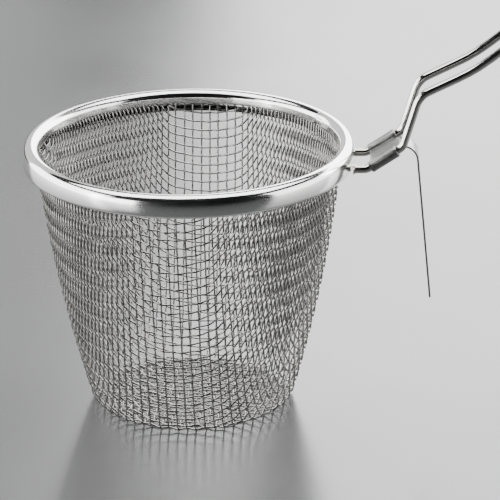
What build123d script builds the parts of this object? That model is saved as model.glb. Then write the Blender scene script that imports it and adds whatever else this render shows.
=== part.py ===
"""Wire-cloth noodle strainer: drawn basket, rolled rim, two-leg wire handle and a pot hook.

Millimetres. +Z is up, +X runs out along the handle, and the origin is the centre of the
basket's floor on its underside. Every piece is a separate solid in its own STEP file.
"""
from build123d import *
import math
import os

# ---- driving dimensions -------------------------------------------------------------
RIM_DIAMETER = 120.0        # outside of the rolled rim
BASKET_HEIGHT = 99.5        # underside of the floor to the crest of the rim
FLOOR_RADIUS = 32.0         # flat part of the basket's floor
CORNER_RADIUS = 6.0         # outside radius between floor and wall
WALL_BOW = 5.0              # degrees that the wall leans more at its foot than its chord
CLOTH_THICKNESS = 1.25      # two crossing 0.65 mm wires, pressed a little flat where they meet

CORE_WIRE = 2.5             # diameter of the ring wire that the cloth is folded over
HEM_LENGTH = 2.0            # how far the folded cloth runs down outside the ring wire
RIM_SHEET = 0.4             # sheet thickness of the rolled rim band
CREST_END = 12.0            # degrees above level where the crest meets the outer wall
OUTER_WALL_RADIUS = 14.0    # section radius of the band's slightly convex outer wall
RIM_HEIGHT = 8.2            # crest to the underside of the band
RIM_FOOT_RADIUS = 1.6       # where the outer wall turns in under the ring wire
LIP_HEIGHT = 4.5            # crest to the edge of the inner lip
FOOT_CLEARANCE = 0.5        # gap between the turned-in foot and the cloth
SEAM_ANGLE = 33.0           # azimuth of the butt joint in the band, from the handle
SEAM_GAP = 0.15             # width of that joint
SEAM_CORNER = 1.2           # radius that rounds off the lip beside the joint

HANDLE_WIRE = 3.0           # diameter of the handle wire
LEG_SPACING = 18.0          # centre to centre of the two legs
LEG_DROP = 3.95             # legs below the middle of the rim's height
STUB_LENGTH = 4.2           # outside of the rim to the first bend
SLEEVE_RISE = 33.4          # degrees, the stretch that carries the hook plate
SLEEVE_RUN = 12.7           # horizontal run of that stretch
NECK_RISE = 73.0            # degrees, the steep stretch
NECK_RUN = 5.85             # horizontal run of the steep stretch
SHOULDER_RISE = 26.0        # degrees, first stretch of the grip
SHOULDER_RUN = 19.6         # its horizontal run
GRIP_RISE = 38.0            # degrees, the rest of the grip
HANDLE_LENGTH = 140.0       # outside of the rim to the outer end of the handle
BEND_RADII = (4.5, 5.5, 8.0, 60.0)   # centreline radii of the four bends, from the rim
WELD_LENGTH = 1.4           # upset metal at the root of each leg
WELD_GROWTH = 0.5           # how much thicker than the wire it is, on the radius

HOOK_SHEET = 0.7            # sheet thickness of the hook plate
SLEEVE_LENGTH = 11.2        # length of the ears curled round the legs
SLEEVE_SET_BACK = 0.1       # from the end of the first bend to the ears
CURL_GAP = 40.0             # degrees left open between each ear's edge and the web
CURL_START = 12.0           # degrees below level where that gap starts, under the web
WEB_LENGTH = 9.9            # web between the ears, before the tongue bends
TONGUE_WIDTH = 10.0
TONGUE_BEND = 5.6           # radius at the middle of the sheet
TONGUE_LEAN = 5.0           # degrees that the hanging tongue leans outwards
TONGUE_DROP = 53.9          # straight length of the hanging tongue
TONGUE_CORNER = 1.5         # rounded corners at the tongue's tip

# ---- derived --------------------------------------------------------------------------
core_r = CORE_WIRE / 2
wire_r = HANDLE_WIRE / 2
crest_r = core_r + CLOTH_THICKNESS + RIM_SHEET
crest_end = math.radians(CREST_END)
outer_r = RIM_DIAMETER / 2
core_x = outer_r - OUTER_WALL_RADIUS * (1 - math.cos(crest_end)) - crest_r * math.cos(crest_end)
core_z = BASKET_HEIGHT - crest_r
rim_foot_z = BASKET_HEIGHT - RIM_HEIGHT
rim_mid_z = BASKET_HEIGHT - RIM_HEIGHT / 2
leg_z = rim_mid_z - LEG_DROP
leg_y = LEG_SPACING / 2


def polar(centre, radius, angle):
    """Point at an angle in radians on a circle in the section plane."""
    return (centre[0] + radius * math.cos(angle), centre[1] + radius * math.sin(angle))


def arc(centre, radius, start, end):
    """Arc in the section plane between two angles in radians."""
    middle = (start + end) / 2
    return ThreePointArc(polar(centre, radius, start), polar(centre, radius, middle),
                         polar(centre, radius, end))


def strip(edges, far_edges):
    """Face between a chain of edges and its offset chain."""
    ends = [Line(edges[0] @ 0, far_edges[0] @ 0), Line(edges[-1] @ 1, far_edges[-1] @ 1)]
    return make_face(edges + far_edges + ends)


def turned(section):
    """Solid of revolution about the basket's axis."""
    return revolve(Plane.XZ * section, Axis.Z, 360)


# ---- wall line, shared by the cloth and the lip of the band ---------------------------
# The wall's outside is one arc: it leaves the floor corner at wall_foot degrees from
# vertical and runs out tangent to the ring wire.
wall_chord = math.atan2(core_x - core_r - FLOOR_RADIUS - CORNER_RADIUS, core_z - CORNER_RADIUS)
wall_foot = wall_chord + math.radians(WALL_BOW)
corner_centre = (FLOOR_RADIUS, CORNER_RADIUS)
foot_point = polar(corner_centre, CORNER_RADIUS, -wall_foot)
to_core = (core_x - foot_point[0], core_z - foot_point[1])
inward = (-math.cos(wall_foot), math.sin(wall_foot))
wall_r = (to_core[0] ** 2 + to_core[1] ** 2 - core_r ** 2) / (
    2 * (core_r + to_core[0] * inward[0] + to_core[1] * inward[1]))
wall_centre = (foot_point[0] + wall_r * inward[0], foot_point[1] + wall_r * inward[1])
core_centre = (core_x, core_z)
wall_top = math.atan2(core_z - wall_centre[1], core_x - wall_centre[0])
wrap_start = math.pi + wall_top


def cloth_line(inset):
    """The cloth's outside, or the same line moved towards the inside of the basket."""
    return [
        Line((0, inset), (FLOOR_RADIUS, inset)),
        arc(corner_centre, CORNER_RADIUS - inset, -math.pi / 2, -wall_foot),
        arc(wall_centre, wall_r - inset, -wall_foot, wall_top),
        arc(core_centre, core_r + inset, wrap_start, 0),
        Line((core_x + core_r + inset, core_z), (core_x + core_r + inset, core_z - HEM_LENGTH)),
    ]


def wall_radius_at(z, inset):
    """Radius of the wall line at a height."""
    return wall_centre[0] + math.sqrt((wall_r - inset) ** 2 - (z - wall_centre[1]) ** 2)


def make_mesh_basket():
    """Wire cloth as a plain shell: floor, corner, wall and the hem over the ring wire."""
    return turned(strip(cloth_line(0), cloth_line(CLOTH_THICKNESS)))


def make_rim_core_wire():
    """Ring wire that the cloth is folded over."""
    section = Pos(core_x, core_z) * Circle(core_r)
    return turned(section)


# ---- rim band --------------------------------------------------------------------------
outer_wall_centre = (outer_r - OUTER_WALL_RADIUS,
                     core_z + (crest_r - OUTER_WALL_RADIUS) * math.sin(crest_end))
foot_centre_z = rim_foot_z + RIM_FOOT_RADIUS
foot_turn = -math.asin((outer_wall_centre[1] - foot_centre_z) /
                       (OUTER_WALL_RADIUS - RIM_FOOT_RADIUS))
foot_centre = polar(outer_wall_centre, OUTER_WALL_RADIUS - RIM_FOOT_RADIUS, foot_turn)
foot_edge_x = wall_radius_at(rim_foot_z, 0) + FOOT_CLEARANCE


def lip_angle(inset):
    """Angle on the wall line at the height of the lip's edge."""
    return math.asin((BASKET_HEIGHT - LIP_HEIGHT - wall_centre[1]) / (wall_r - inset))


def band_line(inset):
    """The band's outer face, or the same line moved into the sheet."""
    cover = CLOTH_THICKNESS + RIM_SHEET - inset
    return [
        arc(wall_centre, wall_r - cover, lip_angle(cover), wall_top),
        arc(core_centre, crest_r - inset, wrap_start, crest_end),
        arc(outer_wall_centre, OUTER_WALL_RADIUS - inset, crest_end, foot_turn),
        arc(foot_centre, RIM_FOOT_RADIUS - inset, foot_turn, -math.pi / 2),
        Line((foot_centre[0], rim_foot_z + inset), (foot_edge_x, rim_foot_z + inset)),
    ]


def make_seam():
    """Cutter for the band's butt joint, with the lip's two corners rounded off."""
    length = 2 * crest_r + 2
    slit = Pos(core_x, 0, rim_mid_z) * Box(length, SEAM_GAP, RIM_HEIGHT + 2)
    lip_edge = BASKET_HEIGHT - LIP_HEIGHT
    lip_x = wall_radius_at(lip_edge, CLOTH_THICKNESS + RIM_SHEET)
    width = SEAM_GAP + 2 * SEAM_CORNER
    notch = Pos(lip_x, 0, lip_edge) * Box(2, width, 2 * SEAM_CORNER)
    for side in (-1, 1):
        corner = Pos(lip_x, side * width / 2, lip_edge + SEAM_CORNER)
        notch -= corner * Rot(0, 90, 0) * Cylinder(SEAM_CORNER, 3)
    return Rot(0, 0, SEAM_ANGLE) * (slit + notch)


def make_rim_band():
    """Rolled sheet band: inner lip, crest, outer wall and turned-in foot."""
    return turned(strip(band_line(0), band_line(RIM_SHEET))) - make_seam()


# ---- handle ----------------------------------------------------------------------------
sleeve_rise = math.radians(SLEEVE_RISE)
neck_rise = math.radians(NECK_RISE)
sleeve_corner = (outer_r + STUB_LENGTH, leg_z)
neck_corner = (sleeve_corner[0] + SLEEVE_RUN, leg_z + SLEEVE_RUN * math.tan(sleeve_rise))
shoulder_corner = (neck_corner[0] + NECK_RUN, neck_corner[1] + NECK_RUN * math.tan(neck_rise))
grip_corner = (shoulder_corner[0] + SHOULDER_RUN,
               shoulder_corner[1] + SHOULDER_RUN * math.tan(math.radians(SHOULDER_RISE)))
grip_rise = math.radians(GRIP_RISE)
handle_end = outer_r + HANDLE_LENGTH
grip_run = handle_end - (leg_y + wire_r) * math.cos(grip_rise) - grip_corner[0]
grip_end = (grip_corner[0] + grip_run, grip_corner[1] + grip_run * math.tan(grip_rise))


def make_leg():
    """One leg of the handle, from inside the rim wall to the end loop."""
    root = (outer_r - 2 * RIM_SHEET, leg_z)
    corners = [root, sleeve_corner, neck_corner, shoulder_corner, grip_corner, grip_end]
    path = FilletPolyline(*[(x, leg_y, z) for x, z in corners], radius=list(BEND_RADII))
    return sweep(Plane(path @ 0, z_dir=path % 0) * Circle(wire_r), path=path)


def make_end_loop():
    """Half turn that joins the two legs at the outer end of the handle."""
    loop_plane = Plane((grip_end[0], 0, grip_end[1]), x_dir=(0, 1, 0),
                       z_dir=(math.sin(grip_rise), 0, -math.cos(grip_rise)))
    loop = revolve(Plane.XZ * Pos(leg_y, 0) * Circle(wire_r), Axis.Z, 180)
    return loop_plane * loop


def make_weld():
    """Upset metal round the root of one leg."""
    root_x = math.sqrt(outer_r ** 2 - leg_y ** 2) - 2 * RIM_SHEET
    align = (Align.CENTER, Align.CENTER, Align.MIN)
    weld = Cone(wire_r + WELD_GROWTH, wire_r, WELD_LENGTH + 2 * RIM_SHEET, align=align)
    return Pos(root_x, leg_y, leg_z) * Rot(0, 90, 0) * weld


def make_handle_wire():
    """One wire: leg, end loop, leg, with the upset weld metal at both roots."""
    leg = make_leg() + make_weld()
    wire = leg + mirror(leg, about=Plane.XZ) + make_end_loop()
    inside_rim = Pos(0, 0, leg_z) * Cylinder(outer_r - RIM_SHEET / 2, 4 * RIM_HEIGHT)
    return wire - inside_rim - make_rim_band()


# ---- hook plate ------------------------------------------------------------------------
curl_r = wire_r + HOOK_SHEET
sleeve_start = BEND_RADII[0] * math.tan(sleeve_rise / 2) + SLEEVE_SET_BACK
sleeve_origin = (sleeve_corner[0] + sleeve_start * math.cos(sleeve_rise), 0,
                 leg_z + sleeve_start * math.sin(sleeve_rise))
sleeve_plane = Plane(sleeve_origin, x_dir=(0, 1, 0),
                     z_dir=(math.cos(sleeve_rise), 0, math.sin(sleeve_rise)))


def make_ear(side):
    """Section of one ear: an open ring round a leg, with its free edge below the web."""
    first = 180 + CURL_START if side > 0 else -CURL_START - CURL_GAP
    reach = 2 * curl_r
    corners = [polar((0, 0), reach, math.radians(first + turn)) for turn in (0, CURL_GAP)]
    gap = make_face(Polyline((0, 0), *corners, close=True))
    return Pos(side * leg_y, 0) * (Circle(curl_r) - Circle(wire_r) - gap)


def make_tongue():
    """Strip that leaves the web, bends over and hangs down, in the sleeve's own plane."""
    turn = sleeve_rise + math.pi / 2 - math.radians(TONGUE_LEAN)
    centre = (WEB_LENGTH, -TONGUE_BEND)
    down = (math.cos(turn), -math.sin(turn))
    faces = []
    for inset in (HOOK_SHEET / 2, -HOOK_SHEET / 2):
        bend = arc(centre, TONGUE_BEND + inset, math.pi / 2, math.pi / 2 - turn)
        tip = (bend @ 1) + Vector(*down) * TONGUE_DROP
        faces.append([bend, Line(bend @ 1, tip)])
    side_view = Plane((0, 0, 0), x_dir=(0, 0, 1), z_dir=(-1, 0, 0)) * strip(*faces)
    tongue = extrude(side_view, TONGUE_WIDTH / 2, both=True)
    tip_edges = tongue.edges().filter_by(lambda edge: abs(edge.length - HOOK_SHEET) < 0.01)
    return fillet(tip_edges.sort_by(Axis.Y)[:2], TONGUE_CORNER)


def make_hook_plate():
    """Stamped plate: web between the legs, ears curled round them, and the pot tongue."""
    web = Rectangle(2 * leg_y - wire_r - curl_r, HOOK_SHEET)
    plate = extrude(web + make_ear(1) + make_ear(-1), SLEEVE_LENGTH)
    align = (Align.CENTER, Align.CENTER, Align.MIN)
    relief = Box(2 * (leg_y - curl_r), 4 * HOOK_SHEET, SLEEVE_LENGTH, align=align)
    plate -= Pos(0, 0, WEB_LENGTH) * relief
    return sleeve_plane * (plate + make_tongue())


if __name__ == "__main__":
    os.makedirs("parts", exist_ok=True)
    parts = {
        "mesh_basket": make_mesh_basket(),
        "rim_core_wire": make_rim_core_wire(),
        "rim_band": make_rim_band(),
        "handle_wire": make_handle_wire(),
        "hook_plate": make_hook_plate(),
    }
    for name, solid in parts.items():
        export_step(solid, f"parts/{name}.step")
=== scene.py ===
"""Looks of a wire-cloth noodle strainer, built as a Blender add-on that is run as a script.

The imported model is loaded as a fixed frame. The basket's shell is replaced by woven wires, and the
rim, the handle and the hook plate by finished pieces in the same places. Metres, +Z up, +X along
the handle, origin under the centre of the basket's floor.
"""
import math

import bmesh
import bpy
import numpy as np
from mathutils import Matrix, Vector


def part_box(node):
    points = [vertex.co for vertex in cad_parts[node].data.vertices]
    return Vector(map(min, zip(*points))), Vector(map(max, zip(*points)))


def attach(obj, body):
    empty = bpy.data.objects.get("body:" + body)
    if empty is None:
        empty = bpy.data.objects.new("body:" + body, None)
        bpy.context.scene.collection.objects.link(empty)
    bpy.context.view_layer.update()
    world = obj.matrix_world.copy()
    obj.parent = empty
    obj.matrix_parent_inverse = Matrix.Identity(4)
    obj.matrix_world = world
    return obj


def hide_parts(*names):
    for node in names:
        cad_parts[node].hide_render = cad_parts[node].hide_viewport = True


bl_info = {
    "name": "Noodle Strainer",
    "version": (1, 0, 0),
    "blender": (4, 5, 0),
    "location": "View3D > Sidebar > Strainer",
    "description": "Weaves the basket and finishes the rim, handle and hook of a noodle strainer",
    "category": "Add Mesh",
}

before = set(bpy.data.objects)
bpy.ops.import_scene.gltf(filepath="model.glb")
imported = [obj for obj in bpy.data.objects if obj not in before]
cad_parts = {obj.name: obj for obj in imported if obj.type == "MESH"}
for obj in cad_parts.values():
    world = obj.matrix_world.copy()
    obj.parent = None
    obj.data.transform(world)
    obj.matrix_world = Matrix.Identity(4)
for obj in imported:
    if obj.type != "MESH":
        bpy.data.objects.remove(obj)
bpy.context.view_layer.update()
RIM_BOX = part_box("rim_band")
CORE_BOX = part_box("rim_core_wire")
HANDLE_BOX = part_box("handle_wire")

MM = 0.001
BODY = "root"
QUARTER = math.pi / 2
MERGE = 1e-7
TINY = 1e-9
WIRE_RESOLUTION = 2
HANDLE_RESOLUTION = 8
SENSOR = 36.0


# ---- settings ----
def float_kind(**kind):
    """Maker of float properties of one kind."""
    def make(name, default, description):
        return bpy.props.FloatProperty(name=name, default=default, description=description, **kind)
    return make


length = float_kind(min=0.0, precision=5, subtype="DISTANCE", unit="LENGTH")
radians = float_kind(subtype="ANGLE", unit="ROTATION")
factor = float_kind(min=0.0, max=1.0, subtype="FACTOR")
lens = float_kind(subtype="DISTANCE_CAMERA", unit="CAMERA")


def angle(name, degrees, description):
    """Property for an angle, with its default in degrees."""
    return radians(name, math.radians(degrees), description)


def count(name, default, description):
    """Property for a whole number."""
    return bpy.props.IntProperty(name=name, default=default, description=description, min=1)


def row(name, default, description, **kind):
    """Property for a row of numbers."""
    return bpy.props.FloatVectorProperty(name=name, default=default, description=description,
                                         size=len(default), **kind)


def colour(name, default, description):
    """Property for a linear colour."""
    return row(name, default, description, min=0.0, max=1.0, subtype="COLOR")


class ClothSettings(bpy.types.PropertyGroup):
    """Sizes of the woven basket."""

    wire: length("Wire", 0.65 * MM, "Diameter of the cloth's wires")
    thickness: length("Thickness", 1.25 * MM, "Thickness of the cloth where two wires cross")
    pitch: length("Pitch", 3.25 * MM, "Centre to centre of the wires on the floor")
    wall_pitch: length("Wall pitch", 3.32 * MM, "Same distance down the wall, where it is drawn")
    floor_radius: length("Floor radius", 32 * MM, "Flat part of the floor")
    corner: length("Corner", 6 * MM, "Outside radius between floor and wall")
    bow: angle("Bow", 5, "How much more the wall leans at its foot than its chord")
    hem: length("Hem", 2 * MM, "How far the cloth runs down outside the ring wire")
    turn: angle("Turn", -4, "Turn of the weave about the basket's axis")
    even_start: length("Even start", 2.3 * MM, "From the floor's edge to where crowding evens out")
    even_end: length("Even end", 54.6 * MM, "From the floor's edge to evenly crowded wires")
    sharp_start: length("Sharp start", 14.8 * MM, "From the floor to where the bands get edges")
    sharp_end: length("Sharp end", 133 * MM, "From the floor to the sharpest edges")
    soft_edge: row("Soft edge", (math.radians(14), math.radians(45)),
                   "Edge of a crowded band low on the wall", subtype="EULER", unit="ROTATION")
    sharp_edge: row("Sharp edge", (math.radians(12.3), math.radians(19.6)),
                    "That edge high on the wall", subtype="EULER", unit="ROTATION")
    wander: factor("Wander", 0.03, "Uneven spacing of the wires, as a share of the pitch")
    drift: angle("Drift", 0.6, "Slow sideways drift of the weave on the wall")
    seed: count("Seed", 7, "Seed of the uneven spacing")
    steps: count("Steps", 4, "Points on a wire from one crossing to the next")


class RimSettings(bpy.types.PropertyGroup):
    """Sizes of the rolled rim band, besides those that the frame gives."""

    sheet: length("Sheet", 0.4 * MM, "Thickness of the rolled sheet")
    crest_end: angle("Crest end", 12, "Where the crest meets the outer wall, above level")
    wall_radius: length("Wall radius", 14 * MM, "Section radius of the convex outer wall")
    foot_radius: length("Foot radius", 1.6 * MM, "Radius where the wall turns in below")
    foot_clearance: length("Foot clearance", 0.5 * MM, "Gap between the foot and the cloth")
    lip_height: length("Lip height", 4.5 * MM, "Crest to the edge of the inner lip")
    seam: angle("Seam", 33, "Azimuth of the butt joint, from the handle")
    seam_gap: length("Seam gap", 0.03 * MM, "Width of the joint")
    seam_corner: length("Seam corner", 2.2 * MM, "Rounding of the lip beside the joint")
    bead: length("Bead", 5.6 * MM, "Length of the weld bead beside the joint")
    steps: count("Steps", 320, "Sections round the rim")


class HandleSettings(bpy.types.PropertyGroup):
    """Sizes of the bent handle wire."""

    wire: length("Wire", 3 * MM, "Diameter of the handle's wire")
    spacing: length("Spacing", 18 * MM, "Centre to centre of the two legs")
    drop: length("Drop", 3.95 * MM, "Legs below the middle of the rim's height")
    stub: length("Stub", 4.2 * MM, "Outside of the rim to the first bend")
    sleeve_run: length("Sleeve run", 12.7 * MM, "Level run of the stretch with the hook plate")
    sleeve_rise: angle("Sleeve rise", 33.4, "Slope of that stretch")
    neck_run: length("Neck run", 5.85 * MM, "Level run of the steep stretch")
    neck_rise: angle("Neck rise", 73, "Slope of the steep stretch")
    shoulder_run: length("Shoulder run", 19.6 * MM, "Level run of the first stretch of the grip")
    shoulder_rise: angle("Shoulder rise", 26, "Slope of that stretch")
    grip_rise: angle("Grip rise", 38, "Slope of the rest of the grip")
    bends: row("Bends", (4.5 * MM, 5.5 * MM, 8 * MM, 60 * MM),
               "Centreline radii of the four bends, from the rim", subtype="XYZ", unit="LENGTH")
    weld: length("Weld", 1.4 * MM, "Length of the upset metal at each root")
    weld_growth: length("Weld growth", 0.5 * MM, "How much thicker it is, on the radius")


class HookSettings(bpy.types.PropertyGroup):
    """Sizes of the stamped hook plate."""

    sheet: length("Sheet", 0.7 * MM, "Thickness of the plate")
    sleeve: length("Sleeve", 11.2 * MM, "Length of the ears curled round the legs")
    set_back: length("Set back", 0.1 * MM, "From the end of the first bend to the ears")
    curl_gap: angle("Curl gap", 40, "Part of each ear's turn that is left open")
    curl_start: angle("Curl start", 12, "Where that opening starts, below the web")
    web: length("Web", 9.9 * MM, "Length of the web before the tongue bends")
    tongue: length("Tongue", 10 * MM, "Width of the tongue")
    bend: length("Bend", 5.6 * MM, "Radius of the tongue's bend at mid sheet")
    lean: angle("Lean", 5, "How far the hanging tongue leans outwards")
    drop: length("Drop", 53.9 * MM, "Straight length of the hanging tongue")
    corner: length("Corner", 1.5 * MM, "Rounded corners at the tip")
    edge: length("Edge", 0.12 * MM, "Rounding of the sheet's edges")


class FinishSettings(bpy.types.PropertyGroup):
    """Colours of the steels."""

    cloth: colour("Cloth", (0.36, 0.355, 0.345), "Colour of the cloth's wire")
    rim: colour("Rim", (0.86, 0.86, 0.85), "Colour of the rolled rim")
    core: colour("Core", (0.55, 0.55, 0.54), "Colour of the ring wire")
    handle: colour("Handle", (0.66, 0.65, 0.63), "Colour of the handle's wire")
    hook: colour("Hook", (0.30, 0.30, 0.295), "Colour of the hook plate")
    tint: colour("Tint", (0.52, 0.42, 0.30), "Straw tint that welding leaves")


class StageSettings(bpy.types.PropertyGroup):
    """Camera, floor and lights."""

    distance: length("Distance", 1.30, "Camera to the middle of the rim")
    elevation: angle("Elevation", 19.7, "Camera above level")
    azimuth: angle("Azimuth", 2.7, "Camera round the basket, from the -Y side")
    roll: angle("Roll", -1.03, "Roll of the camera")
    lens: lens("Lens", 259.8, "Focal length on a 36 mm sensor")
    aim: row("Aim", (-0.1224, 0.1989), "Rim's middle from the picture's, share of its width")
    floor: colour("Floor", (0.06, 0.061, 0.062), "Colour of the floor")
    ambient: factor("Ambient", 0.01, "Brightness of the room beyond the lights")


# ---- lines and sections ----
def polar(centre, radius, turn):
    """Point at an angle on a circle in the section plane."""
    return (centre[0] + radius * math.cos(turn), centre[1] + radius * math.sin(turn))


def arc_points(centre, radius, start, end, steps):
    """Points along an arc in the section plane, both ends included."""
    return [polar(centre, radius, start + (end - start) * k / steps) for k in range(steps + 1)]


class Section:
    """The strainer's section: wall, ring wire and rolled rim, from the frame and the settings."""

    def __init__(self, cloth, rim):
        self.crest_z = RIM_BOX[1].z
        self.foot_z = RIM_BOX[0].z
        self.outer_r = RIM_BOX[1].x
        self.core_r = (CORE_BOX[1].z - CORE_BOX[0].z) / 2
        self.core = (CORE_BOX[1].x - self.core_r, (CORE_BOX[1].z + CORE_BOX[0].z) / 2)
        self.cloth = cloth.thickness
        self.crest_r = self.core_r + self.cloth + rim.sheet
        self.floor_r = cloth.floor_radius
        self.corner = cloth.corner
        self.corner_centre = (self.floor_r, self.corner)
        rise = self.core[1] - self.corner
        chord = math.atan2(self.core[0] - self.core_r - self.floor_r - self.corner, rise)
        self.wall_foot = chord + cloth.bow
        foot = polar(self.corner_centre, self.corner, -self.wall_foot)
        reach = (self.core[0] - foot[0], self.core[1] - foot[1])
        inward = (-math.cos(self.wall_foot), math.sin(self.wall_foot))
        self.wall_r = (reach[0] ** 2 + reach[1] ** 2 - self.core_r ** 2) / (
            2 * (self.core_r + reach[0] * inward[0] + reach[1] * inward[1]))
        self.wall_centre = (foot[0] + self.wall_r * inward[0], foot[1] + self.wall_r * inward[1])
        self.wall_top = math.atan2(self.core[1] - self.wall_centre[1],
                                   self.core[0] - self.wall_centre[0])

    def wall_radius_at(self, z, inset):
        """Radius of the wall line at a height."""
        rise = z - self.wall_centre[1]
        return self.wall_centre[0] + math.sqrt((self.wall_r - inset) ** 2 - rise ** 2)


def section_of(scene):
    """The section at the scene's settings."""
    return Section(scene.strainer_cloth, scene.strainer_rim)


class ClothLine:
    """The middle of the cloth from the pole to the hem, by distance along it."""

    SPACING = 0.02 * MM

    def __init__(self, section, hem):
        inset = section.cloth / 2
        corner_r = section.corner - inset
        wall_r = section.wall_r - inset
        core_r = section.core_r + inset
        wrap = math.pi + section.wall_top
        lengths = (section.floor_r, corner_r * (QUARTER - section.wall_foot),
                   wall_r * (section.wall_foot + section.wall_top), core_r * wrap, hem)
        ends = np.cumsum(lengths)
        self.floor_end = ends[0]
        self.end = ends[4]
        along = np.arange(0, self.end, self.SPACING)
        r = along.copy()
        z = np.full_like(along, inset)
        for number, (centre, radius, start, sense) in enumerate((
                (section.corner_centre, corner_r, -QUARTER, 1),
                (section.wall_centre, wall_r, -section.wall_foot, 1),
                (section.core, core_r, wrap, -1))):
            here = (along > ends[number]) & (along <= ends[number + 1])
            turn = start + sense * (along[here] - ends[number]) / radius
            r[here] = centre[0] + radius * np.cos(turn)
            z[here] = centre[1] + radius * np.sin(turn)
        here = along > ends[3]
        r[here] = section.core[0] + core_r
        z[here] = section.core[1] - (along[here] - ends[3])
        self.along, self.r, self.z = along, r, z
        self.slope_r = np.gradient(r, along)
        self.slope_z = np.gradient(z, along)

    def at(self, along):
        """Radius and height at distances along the line."""
        return np.interp(along, self.along, self.r), np.interp(along, self.along, self.z)

    def outward(self, along):
        """Unit normal there, pointing out of the basket, in the section plane."""
        return (np.interp(along, self.along, self.slope_z),
                -np.interp(along, self.along, self.slope_r))


# ---- drawn weave ----
# Square cloth that is drawn into a basket stays square on the floor and in a band below each
# end of its two wire directions. Between those bands it shears, and the wires crowd until they
# lock. The weave is given by a count V(turn, along): how many wires of one family lie between
# the first axis and a place on the cloth. The other family's count is its mirror image.
class Weave:
    """Where the wires of a drawn square cloth cross, on a surface of revolution."""

    SAMPLES = 721
    NEWTON_STEPS = 14
    PROBE = 1e-4
    FOLD_SHARE = 0.75
    BIAS_STRETCH = 0.35
    TURN_LIMIT = 0.15
    ALONG_LIMIT = 6 * MM
    POLE = 0.01 * MM

    def __init__(self, line, cloth):
        self.line = line
        self.pitch = cloth.pitch
        self.wall_pitch = cloth.wall_pitch
        self.even = (line.floor_end + cloth.even_start, line.floor_end + cloth.even_end)
        self.sharp = (line.floor_end + cloth.sharp_start, line.floor_end + cloth.sharp_end)
        self.fold_r = cloth.floor_radius + (cloth.corner - cloth.thickness / 2) * self.FOLD_SHARE
        self.turns = np.linspace(0, QUARTER, self.SAMPLES)
        cos = np.cos(self.turns)
        bulge = cos * np.sin(self.turns) ** 2
        self.plain = (self.total(cos), self.total(bulge))
        self.bands = []
        for start, end in (cloth.soft_edge, cloth.sharp_edge):
            rising = smooth_step(self.turns, start, end)
            band = rising * rising[::-1]
            self.bands.append((self.total(cos * band), self.total(bulge * band), self.total(band)))

    def total(self, values):
        """Running integral over the quarter turn."""
        step = self.turns[1] - self.turns[0]
        return np.concatenate([[0], np.cumsum((values[1:] + values[:-1]) / 2 * step)])

    def count(self, turn, along):
        """Wires of one family between the first axis and each place."""
        r, _ = self.line.at(along)
        growth = np.maximum(r / self.fold_r, 1) - 1
        even = smooth_step(along, *self.even)
        sharp = smooth_step(along, *self.sharp)
        floor_end = self.line.floor_end
        axis = np.minimum(along, floor_end) / self.pitch
        axis = axis + np.maximum(along - floor_end, 0) / self.wall_pitch

        def parts(x):
            soft, hard = [np.array([np.interp(x, self.turns, total) for total in band])
                          for band in self.bands]
            cos, bulge, spread = (1 - sharp) * soft + sharp * hard
            plain, plain_bulge = [np.interp(x, self.turns, total) for total in self.plain]
            taken = cos + growth * bulge
            return r / self.pitch * (plain + growth * plain_bulge - even * taken), spread

        base_all, spread_all = parts(np.full_like(turn, QUARTER))
        base, spread = parts(turn)
        return base + (axis - base_all) / spread_all * spread

    def slopes(self, turn, along):
        """How fast the count grows with the turn and along the cloth."""
        d, step = self.PROBE, self.PROBE * MM
        by_turn = (self.count(turn + d, along) - self.count(turn - d, along)) / (2 * d)
        by_along = (self.count(turn, along + step) - self.count(turn, along - step)) / (2 * step)
        return by_turn, by_along

    def crossing(self, u, v):
        """Turn and distance along the cloth at counts u and v, both positive."""
        turn = np.arctan2(v, u)
        along = self.pitch * np.hypot(u, v)
        floor_end = self.line.floor_end
        stretch = 1 + self.BIAS_STRETCH * np.sin(2 * turn) ** 2
        along = np.where(along > floor_end, floor_end + (along - floor_end) * stretch, along)
        for _ in range(self.NEWTON_STEPS):
            mirror = QUARTER - turn
            miss_v = self.count(turn, along) - v
            miss_u = self.count(mirror, along) - u
            v_turn, v_along = self.slopes(turn, along)
            u_mirror, u_along = self.slopes(mirror, along)
            u_turn = -u_mirror
            det = v_turn * u_along - v_along * u_turn
            turn_step = (miss_v * u_along - miss_u * v_along) / det
            along_step = (miss_u * v_turn - miss_v * u_turn) / det
            turn = turn - np.clip(turn_step, -self.TURN_LIMIT, self.TURN_LIMIT)
            turn = np.clip(turn, 0, QUARTER)
            along = along - np.clip(along_step, -self.ALONG_LIMIT, self.ALONG_LIMIT)
            along = np.maximum(along, self.POLE)
        return turn, along


def smooth_step(x, start, end):
    """0 before start, 1 after end, and smooth between."""
    share = np.clip((x - start) / (end - start), 0, 1)
    return share * share * (3 - 2 * share)


def wire_counts(cloth, random, last):
    """Counts of one family's wires on both sides of the middle, slightly uneven."""
    even = np.arange(-last, last) + 0.5
    return even + cloth.wander * random.standard_normal(len(even))


def weave_points(weave, line, cloth, own, other, side):
    """Centrelines of one family, as arrays of points; side says which way its first crimp goes."""
    steps = cloth.steps
    between = np.arange(steps) / steps
    u = (other[:-1, None] + (other[1:] - other[:-1])[:, None] * between).ravel()
    phase = (np.arange(len(other) - 1)[:, None] + between).ravel()
    all_u, all_v = np.meshgrid(u, own)
    turn, along = weave.crossing(np.abs(all_u), np.abs(all_v))
    r, z = line.at(along)
    out_r, out_z = line.outward(along)
    number = np.arange(len(own))[:, None]
    crimp = side * (cloth.thickness - cloth.wire) / 2 * np.cos(math.pi * (phase + number))
    x = (r + crimp * out_r) * np.cos(turn) * np.sign(all_u)
    y = (r + crimp * out_r) * np.sin(turn) * np.sign(all_v)
    z = z + crimp * out_z
    points = np.stack([x, y, z], -1)
    return [wire[keep] for wire, keep in zip(points, along < line.end)]


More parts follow.
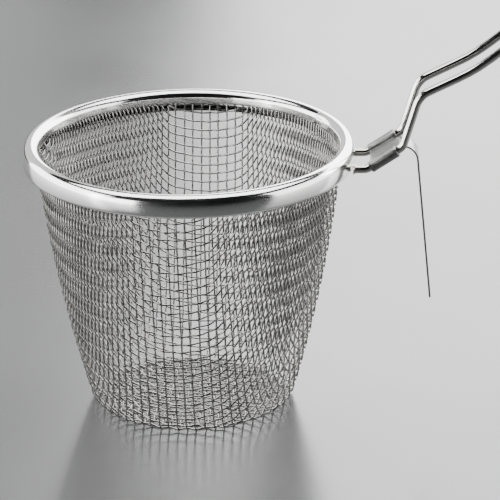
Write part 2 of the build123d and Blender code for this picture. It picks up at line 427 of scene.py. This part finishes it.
DRIFT_PHASE = 1.0


def drifted(points, cloth, line, flip):
    """Puts a family in place: mirrored if it is the second, drifted and turned."""
    if flip:
        points = points[:, [1, 0, 2]]
    top = line.z.max()
    lean = cloth.drift * np.sin(QUARTER * points[:, 2] / top) ** 2
    azimuth = np.arctan2(points[:, 1], points[:, 0])
    turn = cloth.turn - lean * (1 + np.cos(2 * azimuth + DRIFT_PHASE))
    cos, sin = np.cos(turn), np.sin(turn)
    x = points[:, 0] * cos - points[:, 1] * sin
    y = points[:, 0] * sin + points[:, 1] * cos
    return np.stack([x, y, points[:, 2]], -1)


# ---- mesh helpers ----
def add_object(name, data):
    """New object in the scene."""
    made = bpy.data.objects.new(name, data)
    bpy.context.scene.collection.objects.link(made)
    return made


def link_mesh(name, mesh, material, slot, *replaced):
    """Adds a finished mesh as a piece of the strainer."""
    mesh.name = name
    piece = add_object(name, mesh)
    mesh.materials.clear()
    mesh.materials.append(material)
    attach(piece, BODY)
    if replaced:
        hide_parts(*replaced)
    return piece


def smooth_all(mesh):
    """Smooths the shading of every face."""
    mesh.polygons.foreach_set("use_smooth", [True] * len(mesh.polygons))
    return mesh


def to_mesh(bm):
    """Turns a bmesh into a mesh and frees it."""
    mesh = bpy.data.meshes.new("piece")
    bm.to_mesh(mesh)
    bm.free()
    return mesh


def close_up(bm):
    """Merges doubles and makes the faces agree, outwards on a closed shape."""
    bmesh.ops.remove_doubles(bm, verts=bm.verts, dist=MERGE)
    bmesh.ops.recalc_face_normals(bm, faces=bm.faces)


def edges_in(geom):
    """The edges among mixed elements."""
    return [g for g in geom if isinstance(g, bmesh.types.BMEdge)]


def draw_out(bm, edges, move):
    """Extrudes edges along a move; returns the moved verts and all new edges."""
    geom = bmesh.ops.extrude_edge_only(bm, edges=edges)["geom"]
    moved = [g for g in geom if isinstance(g, bmesh.types.BMVert)]
    bmesh.ops.translate(bm, verts=moved, vec=move)
    return moved, edges_in(geom)


def tube_mesh(name, lines, radius, resolution, radii=None):
    """Round capped wires along point lists, in one mesh."""
    curve = bpy.data.curves.new(name, "CURVE")
    curve.dimensions = "3D"
    curve.bevel_depth = radius
    curve.bevel_resolution = resolution
    curve.use_fill_caps = True
    for points in lines:
        spline = curve.splines.new("POLY")
        spline.points.add(len(points) - 1)
        spline.points.foreach_set("co", np.c_[points, np.ones(len(points))].ravel())
        if radii is not None:
            spline.points.foreach_set("radius", radii)
    holder = add_object(name, curve)
    bpy.context.view_layer.update()
    graph = bpy.context.evaluated_depsgraph_get()
    mesh = bpy.data.meshes.new_from_object(holder.evaluated_get(graph))
    bpy.data.objects.remove(holder)
    bpy.data.curves.remove(curve)
    return smooth_all(mesh)


# ---- materials ----
class Nodes:
    """Short way to build a material's nodes."""

    def __init__(self, name):
        self.material = bpy.data.materials.new(name)
        self.material.use_nodes = True
        self.tree = self.material.node_tree
        self.shader = self.tree.nodes["Principled BSDF"]
        self.shader.inputs["Metallic"].default_value = 1.0
        self.place = self.add("ShaderNodeTexCoord").outputs["Object"]

    def add(self, kind, **inputs):
        """Adds a node; inputs are values or sockets by input name, with _ for a space."""
        node = self.tree.nodes.new(kind)
        for key, value in inputs.items():
            self.put(node.inputs[key.replace("_", " ")], value)
        return node

    def put(self, socket, value):
        """Sets a socket to a value or links it."""
        if isinstance(value, bpy.types.NodeSocket):
            self.tree.links.new(value, socket)
        else:
            socket.default_value = value

    def scaled(self, scale, source=None):
        """Object coordinates times a scale for each axis."""
        source = source or self.place
        return self.add("ShaderNodeMapping", Vector=source, Scale=scale).outputs["Vector"]

    def noise(self, vector, scale, detail=3.0, roughness=0.55):
        """Noise from 0 to 1."""
        return self.add("ShaderNodeTexNoise", Vector=vector, Scale=scale, Detail=detail,
                        Roughness=roughness).outputs["Fac"]

    def ranged(self, value, low, high, start=0.3, end=0.7):
        """Maps a noise onto a range."""
        node = self.add("ShaderNodeMapRange", Value=value, From_Min=start, From_Max=end,
                        To_Min=low, To_Max=high)
        node.interpolation_type = "SMOOTHSTEP"
        return node.outputs["Result"]

    def maths(self, operation, *values):
        """One maths node."""
        node = self.add("ShaderNodeMath")
        node.operation = operation
        for socket, value in zip(node.inputs, values):
            self.put(socket, value)
        return node.outputs["Value"]

    def mixed(self, share, first, second):
        """Mix of two colours."""
        node = self.add("ShaderNodeMix")
        node.data_type = "RGBA"
        self.put(node.inputs["Factor"], share)
        self.put(node.inputs["A"], first)
        self.put(node.inputs["B"], second)
        return node.outputs["Result"]

    def bump(self, height, distance, strength, under=None):
        """Bump from a height, in metres."""
        node = self.add("ShaderNodeBump", Height=height, Distance=distance, Strength=strength)
        if under is not None:
            self.put(node.inputs["Normal"], under)
        return node.outputs["Normal"]

    def around(self, turns):
        """Coordinates that run round the Z axis: turn times a length, radius and height."""
        x, y, z = self.add("ShaderNodeSeparateXYZ", Vector=self.place).outputs
        turn = self.maths("ARCTAN2", y, x)
        radius = self.maths("SQRT", self.maths("ADD", self.maths("MULTIPLY", x, x),
                                               self.maths("MULTIPLY", y, y)))
        return self.add("ShaderNodeCombineXYZ", X=self.maths("MULTIPLY", turn, turns),
                        Y=radius, Z=z).outputs["Vector"]

    def tone(self, value, colour_value, dark, light):
        """A colour made darker and lighter by a noise."""
        return self.mixed(self.ranged(value, 0.0, 1.0), shade(colour_value, dark),
                          shade(colour_value, light))

    def finished(self, tone, rough, normal=None):
        """Joins colour, roughness and normal to the shader, and returns the material."""
        for name, socket in (("Base Color", tone), ("Roughness", rough), ("Normal", normal)):
            if socket is not None:
                self.put(self.shader.inputs[name], socket)
        return self.material


def shade(colour_value, share):
    """Colour made darker or lighter, as four numbers."""
    return tuple(min(c * share, 1.0) for c in colour_value) + (1.0,)


# Noise scales are in repeats per metre; the rows below stretch them along each axis.
RING_LENGTH = 0.06
DRAWN_LINES = (0.02, 1.0, 1.0)
RIM_SCRATCHES = (0.15, 1.0, 1.0)
RIM_WAVES = (0.5, 1.0, 1.0)
HANDLE_LINES = (0.015, 1.0, 0.015)
HOOK_LINES = (0.02, 1.0, 0.02)
TINT_SHARE = 0.3
TINT_DULLING = 0.12
TINT_WOBBLE = 3 * MM
TINT_START = 1 * MM
TINT_END = 5 * MM


def cloth_steel(finish):
    """Bright drawn wire with dull patches and a little staining."""
    n = Nodes("cloth_steel")
    patches = n.noise(n.place, scale=90.0)
    fine = n.noise(n.place, scale=900.0, detail=4.0)
    return n.finished(n.tone(patches, finish.cloth, dark=0.84, light=1.1),
                      n.ranged(fine, low=0.10, high=0.22),
                      n.bump(fine, distance=0.02 * MM, strength=0.35))


def rim_steel(finish):
    """Polished rolled sheet: fine lines that run round it, faint smears and tiny scratches."""
    n = Nodes("rim_steel")
    ring = n.around(RING_LENGTH)
    lines = n.noise(n.scaled(DRAWN_LINES, ring), scale=7000.0)
    smear = n.noise(n.place, scale=45.0, detail=4.0)
    scratch = n.noise(n.scaled(RIM_SCRATCHES, ring), scale=2600.0, detail=5.0, roughness=0.7)
    waves = n.noise(n.scaled(RIM_WAVES, ring), scale=120.0, detail=2.0)
    gloss = n.maths("ADD", n.ranged(smear, low=0.07, high=0.15),
                    n.ranged(lines, low=0.0, high=0.05))
    under = n.bump(waves, distance=0.03 * MM, strength=0.25)
    marks = n.maths("ADD", lines, scratch)
    return n.finished(n.tone(smear, finish.rim, dark=0.95, light=1.04), gloss,
                      n.bump(marks, distance=0.002 * MM, strength=0.3, under=under))


def core_steel(finish):
    """Plain drawn ring wire."""
    n = Nodes("core_steel")
    lines = n.noise(n.scaled(DRAWN_LINES, n.around(RING_LENGTH)), scale=5000.0)
    return n.finished(n.tone(lines, finish.core, dark=0.85, light=1.05),
                      n.ranged(lines, low=0.3, high=0.45),
                      n.bump(lines, distance=0.005 * MM, strength=0.4))


def handle_steel(finish, root_x):
    """Bright drawn wire: lines along it, dull patches, and a straw tint beside the welds."""
    n = Nodes("handle_steel")
    lines = n.noise(n.scaled(HANDLE_LINES), scale=9000.0)
    patches = n.noise(n.place, scale=60.0, detail=4.0)
    specks = n.noise(n.place, scale=2400.0, detail=2.0)
    split = n.add("ShaderNodeSeparateXYZ", Vector=n.place)
    wobble = n.maths("MULTIPLY", n.maths("SUBTRACT", patches, 0.5), TINT_WOBBLE)
    heat_x = n.maths("ADD", split.outputs["X"], wobble)
    heat = n.ranged(heat_x, low=1.0, high=0.0, start=root_x + TINT_START, end=root_x + TINT_END)
    tone = n.mixed(n.maths("MULTIPLY", heat, TINT_SHARE),
                   n.tone(patches, finish.handle, dark=0.85, light=1.12),
                   n.tone(specks, finish.tint, dark=0.7, light=1.2))
    rough = n.maths("ADD", n.ranged(lines, low=0.08, high=0.16),
                    n.maths("MULTIPLY", heat, TINT_DULLING))
    pits = n.bump(specks, distance=0.004 * MM, strength=0.25)
    return n.finished(tone, rough, n.bump(lines, distance=0.004 * MM, strength=0.35, under=pits))


def hook_steel(finish):
    """Satin rolled sheet with lines along the tongue."""
    n = Nodes("hook_steel")
    lines = n.noise(n.scaled(HOOK_LINES), scale=8000.0, detail=4.0)
    patches = n.noise(n.place, scale=110.0, detail=4.0)
    specks = n.noise(n.place, scale=1800.0)
    rough = n.maths("ADD", n.ranged(lines, low=0.22, high=0.36),
                    n.ranged(specks, low=0.0, high=0.05))
    return n.finished(n.tone(patches, finish.hook, dark=0.82, light=1.14), rough,
                      n.bump(n.maths("ADD", lines, specks), distance=0.005 * MM, strength=0.4))


def floor_paint(stage):
    """Dark satin table top that looks pale where it reflects a light behind the strainer."""
    n = Nodes("floor_paint")
    n.shader.inputs["Metallic"].default_value = 0.0
    n.shader.inputs["Specular IOR Level"].default_value = 1.0
    grain = n.noise(n.place, scale=6.0, detail=4.0)
    return n.finished(n.tone(grain, stage.floor, dark=0.985, light=1.015),
                      n.ranged(grain, low=0.21, high=0.26))


# ---- operators ----
class STRAINER_OT_weave(bpy.types.Operator):
    """Weaves the basket's wires, both families, over and under each other"""

    bl_idname = "strainer.weave"
    bl_label = "Weave Basket"

    FAMILIES = (("warp", "front", "back"), ("weft", "left", "right"))

    def execute(self, context):
        scene = context.scene
        cloth = scene.strainer_cloth
        line = ClothLine(section_of(scene), cloth.hem)
        weave = Weave(line, cloth)
        steel = cloth_steel(scene.strainer_finish)
        random = np.random.default_rng(cloth.seed)
        last = int(weave.count(np.array([QUARTER]), np.array([line.end]))[0]) + 2
        counts = [wire_counts(cloth, random, last) for _ in self.FAMILIES]
        for flip, (name, *sides) in enumerate(self.FAMILIES):
            own, other = counts[flip], counts[1 - flip]
            lines = weave_points(weave, line, cloth, own, other, 1 - 2 * flip)
            placed = [drifted(points, cloth, line, flip) for points in lines]
            for side, half in zip(sides, (placed[:last], placed[last:])):
                whole = [points for points in half if len(points) > cloth.steps]
                mesh = tube_mesh("wires", whole, cloth.wire / 2, WIRE_RESOLUTION)
                link_mesh(f"{name}_wires_{side}", mesh, steel, "cloth_steel", "mesh_basket")
        return {"FINISHED"}


class STRAINER_OT_rim(bpy.types.Operator):
    """Rolls the rim band round the basket's mouth, with its butt joint and weld bead"""

    bl_idname = "strainer.rim"
    bl_label = "Roll Rim"

    CORNER_STEPS = 12
    CORNER_REACH = 1.5
    ARC_STEPS = (2, 26, 12, 8)
    EDGE_STEPS = 4
    ROUNDING_TOP = 0.35
    BEAD_THICK = 0.6 * MM
    BEAD_HIGH = 1.25 * MM
    BEAD_RISE = 1.9 * MM
    BEAD_OUT = 0.1 * MM
    BEAD_PAST = 0.4 * MM
    BEAD_SEGMENTS = (40, 24)

    def execute(self, context):
        scene = context.scene
        rim = scene.strainer_rim
        section = section_of(scene)
        steel = rim_steel(scene.strainer_finish)
        link_mesh("rolled_rim", self.band(section, rim), steel, "rim_steel", "rim_band")
        link_mesh("rim_weld_bead", self.bead(section, rim), steel, "rim_steel")
        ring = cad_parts["rim_core_wire"]
        ring.data.materials.clear()
        ring.data.materials.append(core_steel(scene.strainer_finish))
        return {"FINISHED"}

    def outline(self, section, rim):
        """Closed outline of the band's section, with rounded sheet edges."""
        crest_end = rim.crest_end
        wall_centre = (section.outer_r - rim.wall_radius,
                       section.core[1] + (section.crest_r - rim.wall_radius) * math.sin(crest_end))
        foot_z = section.foot_z + rim.foot_radius
        foot_turn = -math.asin((wall_centre[1] - foot_z) / (rim.wall_radius - rim.foot_radius))
        foot_centre = polar(wall_centre, rim.wall_radius - rim.foot_radius, foot_turn)
        foot_x = section.wall_radius_at(section.foot_z, 0) + rim.foot_clearance
        lip_z = section.crest_z - rim.lip_height
        half = rim.sheet / 2

        def side(inset):
            cover = section.cloth + rim.sheet - inset
            lip = math.asin((lip_z + half - section.wall_centre[1]) / (section.wall_r - cover))
            wrap = math.pi + section.wall_top
            foot_r = rim.foot_radius - inset
            arcs = ((section.wall_centre, section.wall_r - cover, lip, section.wall_top),
                    (section.core, section.crest_r - inset, wrap, crest_end),
                    (wall_centre, rim.wall_radius - inset, crest_end, foot_turn),
                    (foot_centre, foot_r, foot_turn, -QUARTER))
            points = [point for arc, steps in zip(arcs, self.ARC_STEPS)
                      for point in arc_points(*arc, steps)[:-1]]
            return points + [polar(foot_centre, foot_r, -QUARTER),
                             (foot_x + half, section.foot_z + inset)]

        outer, inner = side(0), side(rim.sheet)
        foot_end = arc_points((foot_x + half, section.foot_z + half), half, -QUARTER,
                              -3 * QUARTER, self.EDGE_STEPS)[1:-1]
        middle = ((outer[0][0] + inner[0][0]) / 2, (outer[0][1] + inner[0][1]) / 2)
        start = math.atan2(inner[0][1] - middle[1], inner[0][0] - middle[0])
        lip_end = arc_points(middle, half, start, start - math.pi, self.EDGE_STEPS)[1:-1]
        return outer + foot_end + inner[::-1] + lip_end

    def band(self, section, rim):
        """The band: its outline spun round the axis, open at the joint, closed at both ends."""
        gap = rim.seam_gap / section.outer_r
        bm = bmesh.new()
        verts = [bm.verts.new((r, 0, z)) for r, z in self.outline(section, rim)]
        edges = [bm.edges.new(pair) for pair in zip(verts, verts[1:] + verts[:1])]
        start = Matrix.Rotation(rim.seam + gap / 2, 4, "Z")
        bmesh.ops.transform(bm, matrix=start, verts=verts)
        corner = self.CORNER_REACH * rim.seam_corner / section.outer_r
        geom = verts + edges
        corner_spin = (corner, self.CORNER_STEPS)
        long_spin = (2 * math.pi - gap - 2 * corner, rim.steps)
        for turn, steps in (corner_spin, long_spin, corner_spin):
            spun = bmesh.ops.spin(bm, geom=geom, cent=(0, 0, 0), axis=(0, 0, 1), angle=turn,
                                  steps=steps)
            geom = spun["geom_last"]
        for end in (edges, edges_in(geom)):
            bmesh.ops.triangle_fill(bm, use_beauty=True, edges=end)
        self.round_lip(bm, section, rim)
        close_up(bm)
        return smooth_all(to_mesh(bm))

    def round_lip(self, bm, section, rim):
        """Rounds off the lip's edge on both sides of the joint."""
        lip_z = section.crest_z - rim.lip_height
        top_z = section.core[1] + self.ROUNDING_TOP * section.crest_r
        cover = section.cloth + rim.sheet / 2
        for vert in bm.verts:
            r = math.hypot(vert.co.x, vert.co.y)
            if vert.co.z > top_z or r > section.core[0]:
                continue
            turn = math.atan2(vert.co.y, vert.co.x) - rim.seam
            away = abs(math.atan2(math.sin(turn), math.cos(turn))) * section.outer_r
            if away > rim.seam_corner:
                continue
            inner = rim.seam_corner - away
            rise = rim.seam_corner - math.sqrt(rim.seam_corner ** 2 - inner ** 2)
            share = (top_z - vert.co.z) / (top_z - lip_z)
            z = vert.co.z + rise * share
            mend = self.wrap_radius(section, z, cover) - self.wrap_radius(section, vert.co.z, cover)
            vert.co = (vert.co.x * (1 + mend / r), vert.co.y * (1 + mend / r), z)

    def wrap_radius(self, section, z, cover):
        """Radius of the lip's middle at a height: along the wall, then over the ring wire."""
        if z < section.core[1]:
            return section.wall_radius_at(z, cover)
        rise = z - section.core[1]
        return section.core[0] - math.sqrt((section.core_r + cover) ** 2 - rise ** 2)

    def bead(self, section, rim):
        """A smooth weld bead on the lip, just on the handle's side of the joint."""
        lip_z = section.crest_z - rim.lip_height
        z = lip_z + self.BEAD_RISE
        r = section.wall_radius_at(z, section.cloth + rim.sheet) + self.BEAD_OUT
        bm = bmesh.new()
        across, along = self.BEAD_SEGMENTS
        bmesh.ops.create_uvsphere(bm, u_segments=across, v_segments=along, radius=1.0)
        bmesh.ops.rotate(bm, verts=bm.verts, matrix=Matrix.Rotation(QUARTER, 3, "Y"))
        bmesh.ops.scale(bm, verts=bm.verts, vec=(rim.bead / 2, self.BEAD_THICK, self.BEAD_HIGH))
        middle = rim.seam - (rim.bead / 2 - self.BEAD_PAST) / r
        for vert in bm.verts:
            turn = middle - vert.co.x / r
            reach = r + vert.co.y
            vert.co = (reach * math.cos(turn), reach * math.sin(turn), z + vert.co.z)
        close_up(bm)
        return smooth_all(to_mesh(bm))


def bend_line(corners, radii, step):
    """Points along straight runs joined by arcs; the runs' own corners are left out."""
    points = [Vector(corners[0])]
    for before, corner, after, radius in zip(corners, corners[1:], corners[2:], radii):
        corner = Vector(corner)
        back = (Vector(before) - corner).normalized()
        ahead = (Vector(after) - corner).normalized()
        turn = math.pi - back.angle(ahead)
        inset = radius * math.tan(turn / 2)
        centre = corner + (back + ahead).normalized() * (radius / math.cos(turn / 2))
        start = corner + back * inset
        axis = (start - centre).cross(ahead).normalized()
        steps = max(3, round(turn / step))
        for k in range(steps + 1):
            swing = Matrix.Rotation(turn * k / steps, 3, axis)
            points.append(centre + swing @ (start - centre))
    points.append(Vector(corners[-1]))
    return points


def mirrored(points):
    """The same points on the other side of the handle's middle, in reverse."""
    return [Vector((p.x, -p.y, p.z)) for p in reversed(points)]


class HandleLine:
    """Where the handle's wire runs, from the frame and the settings."""

    BEND_STEP = math.radians(5)
    LOOP_STEPS = 36

    def __init__(self, handle, section):
        self.y = handle.spacing / 2
        self.z = (section.crest_z + section.foot_z) / 2 - handle.drop
        self.wire_r = handle.wire / 2
        corners = [(section.outer_r + handle.stub, self.z)]
        for run, rise in ((handle.sleeve_run, handle.sleeve_rise),
                          (handle.neck_run, handle.neck_rise),
                          (handle.shoulder_run, handle.shoulder_rise)):
            x, z = corners[-1]
            corners.append((x + run, z + run * math.tan(rise)))
        end_x = HANDLE_BOX[1].x - self.wire_r - self.y * math.cos(handle.grip_rise)
        x, z = corners[-1]
        corners.append((end_x, z + (end_x - x) * math.tan(handle.grip_rise)))
        self.corners = corners
        self.root_x = math.sqrt(section.outer_r ** 2 - self.y ** 2)

    def points(self, handle, sheet):
        """Centreline from one root, round the end loop, to the other root."""
        corners = [(self.root_x - sheet / 2, self.z)] + self.corners
        leg = bend_line([(x, self.y, z) for x, z in corners], handle.bends, self.BEND_STEP)
        ahead = Vector((math.cos(handle.grip_rise), 0, math.sin(handle.grip_rise)))
        middle = Vector((self.corners[-1][0], 0, self.corners[-1][1]))
        loop = []
        for k in range(1, self.LOOP_STEPS):
            turn = math.pi * k / self.LOOP_STEPS
            loop.append(middle + Vector((0, self.y * math.cos(turn), 0))
                        + ahead * (self.y * math.sin(turn)))
        return leg + loop + mirrored(leg)


class STRAINER_OT_handle(bpy.types.Operator):
    """Bends the handle's wire, with upset weld metal at both roots"""

    bl_idname = "strainer.handle"
    bl_label = "Bend Handle"

    ROOT_STEPS = 8

    def execute(self, context):
        scene = context.scene
        handle = scene.strainer_handle
        rim = scene.strainer_rim
        route = HandleLine(handle, section_of(scene))
        points = route.points(handle, rim.sheet)
        reach = handle.weld + rim.sheet / 2
        head = [points[0] + (points[1] - points[0]).normalized() * reach * k / self.ROOT_STEPS
                for k in range(self.ROOT_STEPS + 1)]
        points = head + points[1:-1] + mirrored(head)
        swell = [1 + handle.weld_growth / route.wire_r * (1 - k / self.ROOT_STEPS) ** 2
                 for k in range(self.ROOT_STEPS + 1)]
        radii = swell + [1.0] * (len(points) - 2 * len(swell)) + swell[::-1]
        mesh = tube_mesh("handle", [np.array(points)], route.wire_r, HANDLE_RESOLUTION, radii)
        steel = handle_steel(scene.strainer_finish, route.root_x)
        link_mesh("bent_handle_wire", mesh, steel, "handle_steel", "handle_wire")
        return {"FINISHED"}


class STRAINER_OT_hook(bpy.types.Operator):
    """Stamps the hook plate: a web, ears curled round the legs and the hanging tongue"""

    bl_idname = "strainer.hook"
    bl_label = "Stamp Hook Plate"

    CURL_STEPS = 20
    BEND_STEPS = 18
    EDGE_SEGMENTS = 3
    EDGE_ANGLE = math.radians(40)
    TIP_SEGMENTS = 6

    def execute(self, context):
        scene = context.scene
        hook = scene.strainer_hook
        handle = scene.strainer_handle
        route = HandleLine(handle, section_of(scene))
        bm = bmesh.new()
        self.sleeves(bm, hook, route)
        self.stretch_tongue(bm, hook, handle)
        close_up(bm)
        if sum(f.normal.y for f in bm.faces if abs(f.calc_center_median().x) < hook.tongue / 2) < 0:
            bmesh.ops.reverse_faces(bm, faces=bm.faces)
        bmesh.ops.transform(bm, matrix=self.placement(hook, handle, route), verts=bm.verts)
        mesh = smooth_all(to_mesh(bm))
        steel = hook_steel(scene.strainer_finish)
        piece = link_mesh("stamped_hook_plate", mesh, steel, "hook_steel", "hook_plate")
        solid = piece.modifiers.new("Sheet", "SOLIDIFY")
        solid.thickness = hook.sheet
        solid.offset = 0.0
        solid.use_even_offset = True
        edges = piece.modifiers.new("Rounded edges", "BEVEL")
        edges.width = hook.edge
        edges.segments = self.EDGE_SEGMENTS
        edges.limit_method = "ANGLE"
        edges.angle_limit = self.EDGE_ANGLE
        return {"FINISHED"}

    def placement(self, hook, handle, route):
        """From the plate's own frame (x across, y up from the legs' plane, z along) to place."""
        x, z = route.corners[0]
        start = handle.bends[0] * math.tan(handle.sleeve_rise / 2) + hook.set_back
        cos, sin = math.cos(handle.sleeve_rise), math.sin(handle.sleeve_rise)
        return Matrix(((0, -sin, cos, x + start * cos), (1, 0, 0, 0),
                       (0, cos, sin, z + start * sin), (0, 0, 0, 1)))

    def sleeves(self, bm, hook, route):
        """Ears and web: an open section drawn along the legs."""
        mid_r = route.wire_r + hook.sheet / 2
        start = -math.pi + hook.curl_start + hook.curl_gap
        curl = arc_points((route.y, 0), mid_r, start, math.pi, self.CURL_STEPS)
        inner = route.y - mid_r
        half = hook.tongue / 2
        right = curl + [(x, 0) for x in (half, half / 2, 0)]
        points = right + [(-x, y) for x, y in reversed(right[:-1])]
        verts = [bm.verts.new((x, y, 0)) for x, y in points]
        edges = [bm.edges.new(pair) for pair in zip(verts, verts[1:])]
        _, drawn = draw_out(bm, edges, (0, 0, hook.web))
        ends = [edge for edge in drawn
                if all(abs(v.co.z - hook.web) < TINY for v in edge.verts)
                and min(abs(v.co.x) for v in edge.verts) > inner - TINY]
        draw_out(bm, ends, (0, 0, hook.sleeve - hook.web))

    def stretch_tongue(self, bm, hook, handle):
        """Tongue: the web's middle edges spun over the bend, then drawn down."""
        half = hook.tongue / 2
        edges = [e for e in bm.edges if all(abs(v.co.z - hook.web) < TINY
                                            and abs(v.co.x) < half + TINY for v in e.verts)]
        turn = handle.sleeve_rise + QUARTER - hook.lean
        centre = (0, -hook.bend, hook.web)
        spun = bmesh.ops.spin(bm, geom=edges, cent=centre, axis=(1, 0, 0), angle=turn,
                              steps=self.BEND_STEPS)
        last = edges_in(spun["geom_last"])
        down = Vector((0, -math.sin(turn), math.cos(turn)))
        for run in (hook.drop - hook.corner, hook.corner):
            moved, drawn = draw_out(bm, last, down * run)
            last = [edge for edge in drawn if all(v in moved for v in edge.verts)]
        tips = sorted(moved, key=lambda v: v.co.x)
        bmesh.ops.bevel(bm, geom=[tips[0], tips[-1]], offset=hook.corner, offset_type="OFFSET",
                        segments=self.TIP_SEGMENTS, profile=0.5, affect="VERTICES", material=-1)


class STRAINER_OT_stage(bpy.types.Operator):
    """Sets up the camera, a plain satin floor and soft studio lights"""

    bl_idname = "strainer.stage"
    bl_label = "Set Stage"

    AIM_HEIGHT = 0.06
    FLOOR_HALF = 6.0
    FLOOR_CELLS = 4
    CLIP_END = 30.0
    ROOM_COLOUR = (0.9, 0.95, 1, 1)
    # Name, turn from the camera in degrees, distance, height, size, brightness.
    SOFTBOXES = (
        ("softbox_left", -98, 1.0, 0.38, (1.6, 0.80), 6.0),
        ("softbox_left_front", -52, 0.95, 0.16, (0.55, 0.36), 6.5),
        ("softbox_right", 84, 1.2, 0.40, (1.3, 0.84), 4.0),
        ("softbox_back_left", -157, 2.0, 0.80, (1.5, 1.3), 1.1),
        ("softbox_back_right", 144, 2.0, 0.80, (2.9, 1.3), 8.2),
        ("softbox_top", 180, 0.15, 1.3, (1.9, 1.0), 5.5),
    )

    def execute(self, context):
        scene = context.scene
        stage = scene.strainer_stage
        section = section_of(scene)
        target = Vector((0, 0, (section.crest_z + section.foot_z) / 2))
        self.floor(stage)
        self.camera(scene, stage, target)
        for softbox in self.SOFTBOXES:
            self.softbox(stage, *softbox)
        world = bpy.data.worlds.new("studio")
        world.use_nodes = True
        room = world.node_tree.nodes["Background"]
        room.inputs["Color"].default_value = self.ROOM_COLOUR
        room.inputs["Strength"].default_value = stage.ambient
        scene.world = world
        return {"FINISHED"}

    def floor(self, stage):
        """A wide floor plane."""
        bm = bmesh.new()
        bmesh.ops.create_grid(bm, x_segments=self.FLOOR_CELLS, y_segments=self.FLOOR_CELLS,
                              size=self.FLOOR_HALF)
        floor = add_object("studio_floor", to_mesh(bm))
        floor.data.materials.append(floor_paint(stage))

    def camera(self, scene, stage, target):
        """Camera on its sphere round the target, aimed so that the target is off centre."""
        data = bpy.data.cameras.new("camera")
        data.lens = stage.lens
        data.sensor_width = SENSOR
        data.clip_end = self.CLIP_END
        camera = add_object("camera", data)
        a, e = stage.azimuth, stage.elevation
        back = Vector((math.sin(a) * math.cos(e), -math.cos(a) * math.cos(e), math.sin(e)))
        camera.location = target + back * stage.distance
        right = Matrix.Rotation(stage.roll, 3, back) @ Vector((math.cos(a), math.sin(a), 0))
        up = back.cross(right)
        share = data.sensor_width / data.lens
        side, rise = stage.aim[0] * share, stage.aim[1] * share
        forward = (-back - right * side - up * rise).normalized()
        right = (right - forward * right.dot(forward)).normalized()
        up = right.cross(forward)
        basis = Matrix((right, up, -forward)).transposed()
        camera.rotation_euler = basis.to_euler()
        scene.camera = camera

    def softbox(self, stage, name, turn, distance, height, size, brightness):
        """One soft light round the basket, which faces it and isn't seen itself."""
        heading = stage.azimuth + math.radians(turn)
        centre = Vector((math.sin(heading) * distance, -math.cos(heading) * distance, height))
        data = bpy.data.lights.new(name, "AREA")
        data.shape = "RECTANGLE"
        data.size, data.size_y = size
        data.energy = brightness * math.pi * size[0] * size[1]
        lamp = add_object(name, data)
        lamp.location = centre
        aim = Vector((0, 0, self.AIM_HEIGHT)) - centre
        lamp.rotation_euler = aim.to_track_quat("-Z", "Y").to_euler()
        lamp.visible_camera = False


class STRAINER_PT_panel(bpy.types.Panel):
    """Buttons and sizes of the strainer"""

    bl_idname = "STRAINER_PT_panel"
    bl_label = "Noodle Strainer"
    bl_space_type = "VIEW_3D"
    bl_region_type = "UI"
    bl_category = "Strainer"

    def draw(self, context):
        layout = self.layout
        for name, group, operator in GROUPS:
            box = layout.box()
            for setting in group.__annotations__:
                box.prop(getattr(context.scene, name), setting)
            if operator:
                box.operator(operator.bl_idname)


GROUPS = (
    ("strainer_cloth", ClothSettings, STRAINER_OT_weave),
    ("strainer_rim", RimSettings, STRAINER_OT_rim),
    ("strainer_handle", HandleSettings, STRAINER_OT_handle),
    ("strainer_hook", HookSettings, STRAINER_OT_hook),
    ("strainer_stage", StageSettings, STRAINER_OT_stage),
    ("strainer_finish", FinishSettings, None),
)


def register():
    """Registers the settings, the operators and the panel."""
    for name, group, operator in GROUPS:
        bpy.utils.register_class(group)
        setattr(bpy.types.Scene, name, bpy.props.PointerProperty(type=group))
        if operator:
            bpy.utils.register_class(operator)
    bpy.utils.register_class(STRAINER_PT_panel)


def unregister():
    """Takes them away again."""
    bpy.utils.unregister_class(STRAINER_PT_panel)
    for name, group, operator in reversed(GROUPS):
        if operator:
            bpy.utils.unregister_class(operator)
        delattr(bpy.types.Scene, name)
        bpy.utils.unregister_class(group)


def main():
    """Builds every piece in order."""
    register()
    bpy.ops.strainer.weave()
    bpy.ops.strainer.rim()
    bpy.ops.strainer.handle()
    bpy.ops.strainer.hook()
    bpy.ops.strainer.stage()


if __name__ == "__main__":
    main()
